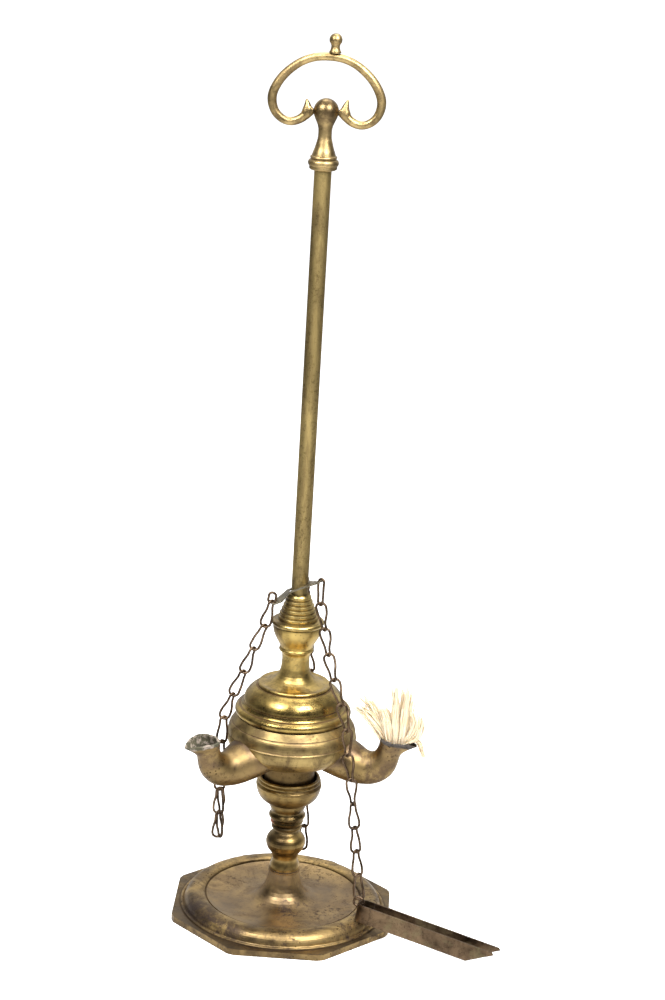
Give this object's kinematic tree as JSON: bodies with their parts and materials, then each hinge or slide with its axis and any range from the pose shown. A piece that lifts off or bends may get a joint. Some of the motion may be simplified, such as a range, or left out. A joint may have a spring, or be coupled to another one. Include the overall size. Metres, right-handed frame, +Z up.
{
  "type": "oil lamp",
  "caption": "Antique brass table oil lamp: oil bowl with spouts turning on a tall rod, round foot, ring handle, hanging chains and tweezers for the wick.",
  "frame": {"origin": "on the rod's axis, in the plane the base stands on", "axes": "+Z up along the rod; +X to the right and +Y away from a viewer facing the lamp, at right angles to two edges of the eight-sided base"},
  "size_m": [0.1814, 0.1309, 0.4862],
  "materials": {
    "base_brass": "aged",
    "stem_brass": "aged",
    "rod_brass": "aged",
    "bowl_brass": "aged",
    "polished_brass": "satin",
    "dark_brass": "tarnished",
    "plate_metal": "tarnished",
    "chain_wire": "tarnished",
    "tweezers_brass": "tarnished",
    "wick_cotton": "matte"
  },
  "bodies": {
    "stand": {"base_foot": "base_brass", "base_nut": "dark_brass", "tie_stud": "dark_brass", "stem_baluster": "stem_brass", "stem_cup": "stem_brass", "rod": "rod_brass", "handle_socket": "stem_brass", "handle_loop": "stem_brass", "handle_finial": "stem_brass"},
    "reservoir_carriage": {"reservoir_foot": "dark_brass"},
    "reservoir": {"oil_sleeve": "dark_brass", "reservoir_bowl": "bowl_brass", "spout_right": "bowl_brass", "spout_left": "bowl_brass", "spout_back": "bowl_brass", "wick": "wick_cotton"},
    "lid": {"lid_dome": "polished_brass", "lid_neck": "polished_brass"},
    "cap": {"ringed_cap": "polished_brass"},
    "plate": {"chain_plate": "plate_metal", "plate_hooks": "chain_wire"},
    "chain_right_upper": {"chain_right_upper": "chain_wire"},
    "chain_right_middle": {"chain_right_middle": "chain_wire"},
    "chain_right_lower": {"chain_right_lower": "chain_wire"},
    "chain_left_upper": {"chain_left_upper": "chain_wire"},
    "chain_left_middle": {"chain_left_middle": "chain_wire"},
    "chain_left_lower": {"chain_left_lower": "chain_wire"},
    "chain_back_upper": {"chain_back_upper": "chain_wire"},
    "chain_back_middle": {"chain_back_middle": "chain_wire"},
    "chain_back_lower": {"chain_back_lower": "chain_wire"},
    "tweezers": {"tweezers_head": "tweezers_brass"},
    "tweezers_near": {"tweezers_arm_near": "tweezers_brass"},
    "tweezers_far": {"tweezers_arm_far": "tweezers_brass"}
  },
  "joints": [
    {"name": "reservoir_lift", "type": "slide", "parent": "stand", "child": "reservoir_carriage", "axis": [0, 0, 1], "range_m": [0, 0.1]},
    {"name": "reservoir_turn", "type": "hinge", "parent": "reservoir_carriage", "child": "reservoir", "pos_m": [0, 0, 0.1], "axis": [0, 0, 1], "continuous": true},
    {"name": "lid_lift", "type": "slide", "parent": "reservoir", "child": "lid", "axis": [0, 0, 1], "range_m": [0, 0.06]},
    {"name": "cap_turn", "type": "hinge", "parent": "lid", "child": "cap", "pos_m": [0, 0, 0.178], "axis": [0, 0, 1], "continuous": true},
    {"name": "plate_lift", "type": "slide", "parent": "lid", "child": "plate", "axis": [0, 0, 1], "range_m": [0, 0.02]},
    {"name": "chain_right_upper_swing", "type": "hinge", "parent": "plate", "child": "chain_right_upper", "pos_m": [0.0119, -0.0093, 0.186], "axis": [-0.6157, -0.788, 0], "range_deg": [0, 10]},
    {"name": "chain_right_middle_swing", "type": "hinge", "parent": "chain_right_upper", "child": "chain_right_middle", "pos_m": [0.03096, -0.02419, 0.11904], "axis": [-0.6157, -0.788, 0], "range_deg": [0, 12]},
    {"name": "chain_right_lower_swing", "type": "hinge", "parent": "chain_right_middle", "child": "chain_right_lower", "pos_m": [0.03463, -0.02706, 0.09151], "axis": [0, -1, 0], "range_deg": [0, 15]},
    {"name": "chain_left_upper_swing", "type": "hinge", "parent": "plate", "child": "chain_left_upper", "pos_m": [-0.01436, -0.00467, 0.18385], "axis": [-0.309, 0.9511, 0], "range_deg": [0, 10]},
    {"name": "chain_left_middle_swing", "type": "hinge", "parent": "chain_left_upper", "child": "chain_left_middle", "pos_m": [-0.03728, -0.01211, 0.11686], "axis": [-0.309, 0.9511, 0], "range_deg": [0, 12]},
    {"name": "chain_left_lower_swing", "type": "hinge", "parent": "chain_left_middle", "child": "chain_left_lower", "pos_m": [-0.03756, -0.0122, 0.08881], "axis": [-0.309, 0.9511, 0], "range_deg": [0, 15]},
    {"name": "chain_back_upper_swing", "type": "hinge", "parent": "plate", "child": "chain_back_upper", "pos_m": [0.00314, 0.01477, 0.18423], "axis": [0.9781, -0.2079, 0], "range_deg": [0, 10]},
    {"name": "chain_back_middle_swing", "type": "hinge", "parent": "chain_back_upper", "child": "chain_back_middle", "pos_m": [0.00812, 0.03818, 0.11713], "axis": [0.9781, -0.2079, 0], "range_deg": [0, 12]},
    {"name": "chain_back_lower_swing", "type": "hinge", "parent": "chain_back_middle", "child": "chain_back_lower", "pos_m": [0.00827, 0.03892, 0.08908], "axis": [0.9781, -0.2079, 0], "range_deg": [0, 15]},
    {"name": "tweezers_tilt", "type": "hinge", "parent": "chain_right_lower", "child": "tweezers", "pos_m": [0.04289, -0.02684, 0.01774], "axis": [-0.2756, -0.9613, 0], "range_deg": [0, 25]},
    {"name": "squeeze_near", "type": "hinge", "parent": "tweezers", "child": "tweezers_near", "pos_m": [0.0492, -0.03266, 0.01465], "axis": [0.157, -0.045, 0.9866], "range_deg": [0, 2.4], "stiffness_Nm_per_rad": 0.4},
    {"name": "squeeze_far", "type": "hinge", "parent": "tweezers", "child": "tweezers_far", "pos_m": [0.05133, -0.02526, 0.01465], "axis": [-0.157, 0.045, -0.9866], "range_deg": [0, 2.4], "stiffness_Nm_per_rad": 0.4}
  ],
  "couplings": [
    {"joint": "squeeze_far", "follows": "squeeze_near", "ratio": 1}
  ]
}
